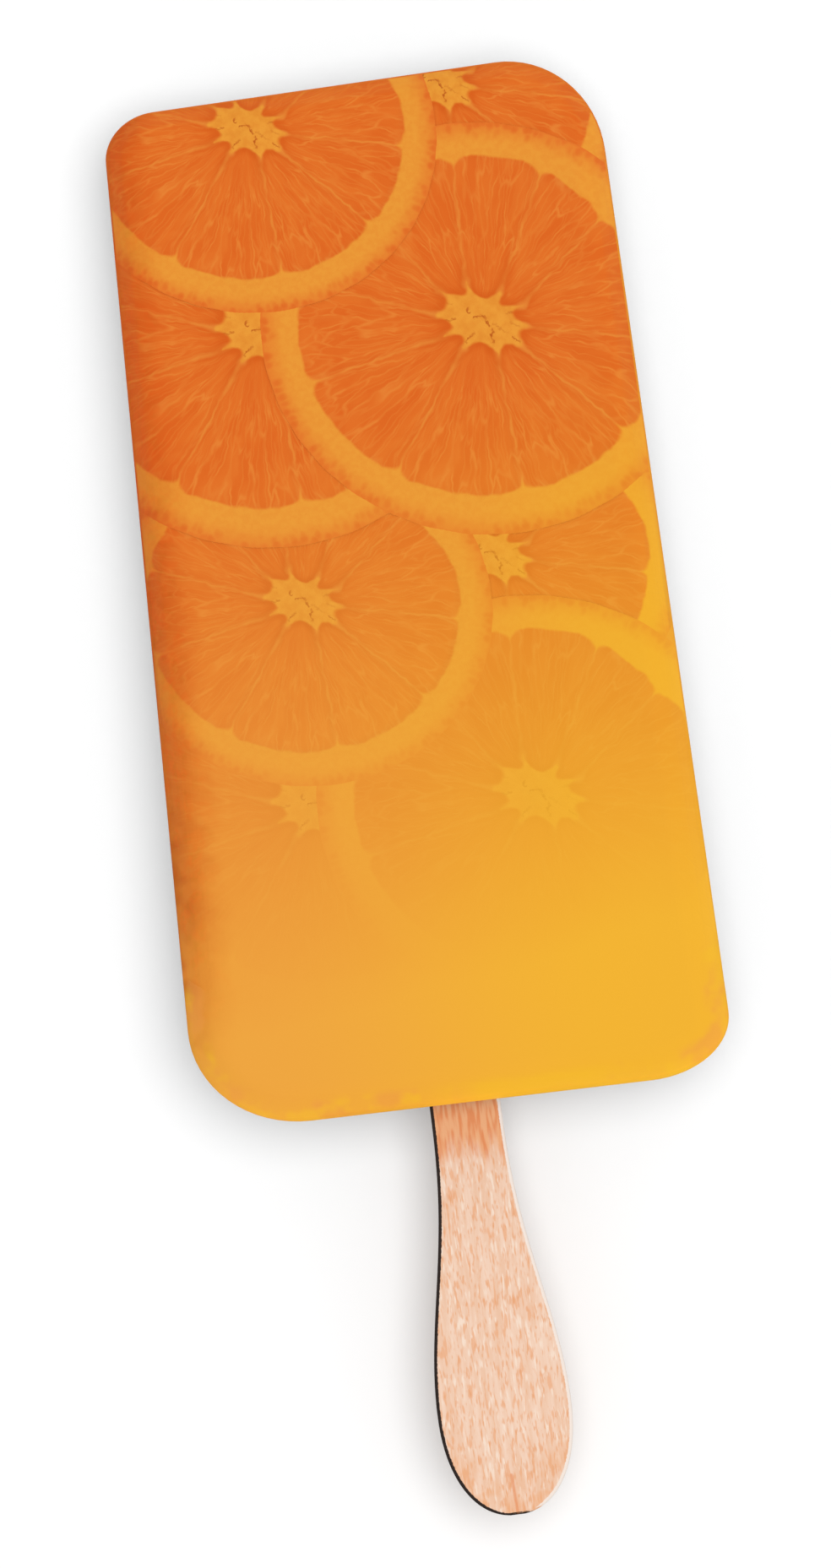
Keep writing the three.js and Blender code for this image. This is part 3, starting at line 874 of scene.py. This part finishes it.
# painted shade for the edge and end away from the lamp, and a painted highlight for the edge
# towards it
EDGE_SHADE_TOP, EDGE_SHADE_BELOW = paint(52, 42, 38), paint(120, 86, 62)
EDGE_HIGHLIGHT_TOP, EDGE_HIGHLIGHT_BELOW = paint(246, 232, 221), paint(241, 208, 182)
WOOD_GLOSS = 0.2
wood, tree, shader = new_material("birch")
place = in_millimetres(tree)
grain = noise(tree, vector(tree, "MULTIPLY", place, (1.6, 0.12, 1.6)), 1.0, 3)
colour = mix(tree, step(tree, grain, 0.3, 0.7), WOOD_DARK, WOOD_LIGHT)


def flecks(across, along, offset, start, end):
    """Short dashes along the grain."""
    stretched = vector(tree, "MULTIPLY_ADD", place, (across, along, across), [offset] * 3)
    return step(tree, noise(tree, stretched, 1.0, 1), start, end)


colour = mix(tree, flecks(2.9, 0.45, 7, 0.44, 0.30), colour, PALE_FLECK)
colour = mix(tree, product(tree, flecks(2.6, 0.5, 0, 0.54, 0.68), 0.75), colour, TAN_FLECK)
colour = mix(tree, product(tree, flecks(4.0, 0.8, 31, 0.56, 0.70), 0.6), colour, BROWN_FLECK)
_, y, z = take_apart(tree, place)
# the round end has yellowed where it is held, and has a short split
held = vector(tree, "MULTIPLY_ADD", place, (1 / PADDLE, 1 / ROUND_END, 0),
              (-0.03, -FLARE_END / ROUND_END, 0))
held = product(tree, step(tree, vector(tree, "LENGTH", held), 0.5, 1.0),
               step(tree, y, -97, -104),
               step(tree, noise(tree, place, 0.45, 2), 0.4, 0.6, 0.1, 0.55))
colour = mix(tree, held, colour, HELD)
flat_place = vector(tree, "MULTIPLY", place, (1, 1, 0))
split = use_group(tree, wall_distance, flat_place, (0.0, -103.4, 0), (0.27, STICK_END_Y, 0))
colour = mix(tree, step(tree, split["Distance"], 0.28, 0.05, 0, 0.7), colour, SPLIT)
ragged = noise(tree, vector(tree, "MULTIPLY", place, (1.1, 0.12, 1.1)), 1.0, 2)
soaked = step(tree, calc(tree, "MULTIPLY_ADD", ragged, 7.0, y), -63.8, -59.6)
soaked_colour = mix(tree, flecks(2.0, 0.3, 3, 0.4, 0.62), SOAKED_LIGHT, SOAKED_DARK)
colour = mix(tree, soaked, colour, soaked_colour)
# the painted shade and the painted highlight are strongest along the upper arris
down_edge = calc(tree, "MULTIPLY_ADD", y, FACE_DRAFT / 2, calc(tree, "SUBTRACT", z, THICKNESS / 2))
down_edge = step(tree, down_edge, 0.9, 0.1)
edge_noise = product(tree, noise(tree, place, 3.2, 2), 0.75)


def edge_mask(attribute, start, end):
    """A value that was stored along the stick's edge, with a ragged border."""
    stored = wire(tree, "ShaderNodeAttribute", attribute_name=attribute).outputs["Fac"]
    return step(tree, calc(tree, "SUBTRACT", stored, edge_noise), start, end)


# painted highlight on the edge towards the lamp, then painted shade on the edge and end away from
# it
edge_highlight = mix(tree, down_edge, EDGE_HIGHLIGHT_TOP, EDGE_HIGHLIGHT_BELOW)
colour = mix(tree, edge_mask("lit_edge", 0.0, 0.4), colour, edge_highlight)
edge_shade = mix(tree, down_edge, EDGE_SHADE_TOP, EDGE_SHADE_BELOW)
colour = mix(tree, edge_mask("shaded_edge", 0.2, 0.4), colour, edge_shade)
finish_material(tree, shader, colour, step(tree, grain, 0.3, 0.7, 0.62, 0.78), 0.3, 0.0001,
                grain, WOOD_GLOSS)

finish_piece(stick, wood, "stick_wood", "stick")
finish_piece(bar, ice, "fruit_ice", "ice_block")

# ---- The studio ----
# A white table under a broad soft lamp in a bright white room, with the camera straight
# above. Table, lamp and room stay out of the gloss, so that the ice keeps its satin look.

TABLE_WHITE = (0.85, 0.85, 0.85, 1)
LAMP_STRENGTH, LAMP_SPREAD = 0.55 * math.pi, math.radians(36)
LAMP_WAY = Vector((0.095, 0.02, 1))
ROOM_STRENGTH = 0.7

bpy.ops.mesh.primitive_plane_add(size=10, location=(0, 0, 0))
table = bpy.context.object
table.name = "table"
table_top, _, shader = new_material("white_table")
shader.inputs["Base Color"].default_value = TABLE_WHITE
shader.inputs["Roughness"].default_value = 0.9
shader.inputs["Specular IOR Level"].default_value = 0.0
table.data.materials.append(table_top)
table.visible_glossy = False

lamp_data = bpy.data.lights.new("soft_lamp", "SUN")
lamp_data.energy = LAMP_STRENGTH
lamp_data.angle = LAMP_SPREAD
lamp = bpy.data.objects.new("soft_lamp", lamp_data)
lamp.rotation_euler = LAMP_WAY.to_track_quat("Z", "Y").to_euler()
lamp.visible_glossy = False
bpy.context.collection.objects.link(lamp)

room = bpy.data.worlds.new("white_room")
room.use_nodes = True
background = room.node_tree.nodes["Background"].inputs
background["Color"].default_value = (1, 1, 1, 1)
background["Strength"].default_value = ROOM_STRENGTH
bpy.context.scene.world = room
room.cycles_visibility.glossy = False
bpy.context.scene.view_settings.view_transform = "Standard"

LENS, SENSOR = 600.0, 36.0
# how wide the camera's view is, and at what height above the table
FRAME_WIDTH, FRAME_Z = 0.09743, 0.015
CAMERA_X, CAMERA_Y, CAMERA_TURN = -0.00162, -0.02159, math.radians(-6.77)
camera_data = bpy.data.cameras.new("camera")
camera_data.sensor_fit = "HORIZONTAL"
camera_data.lens, camera_data.sensor_width = LENS, SENSOR
camera = bpy.data.objects.new("camera", camera_data)
camera.location = (CAMERA_X, CAMERA_Y, FRAME_Z + FRAME_WIDTH * LENS / SENSOR)
camera.rotation_euler = (0, 0, CAMERA_TURN)
bpy.context.collection.objects.link(camera)
bpy.context.scene.camera = camera
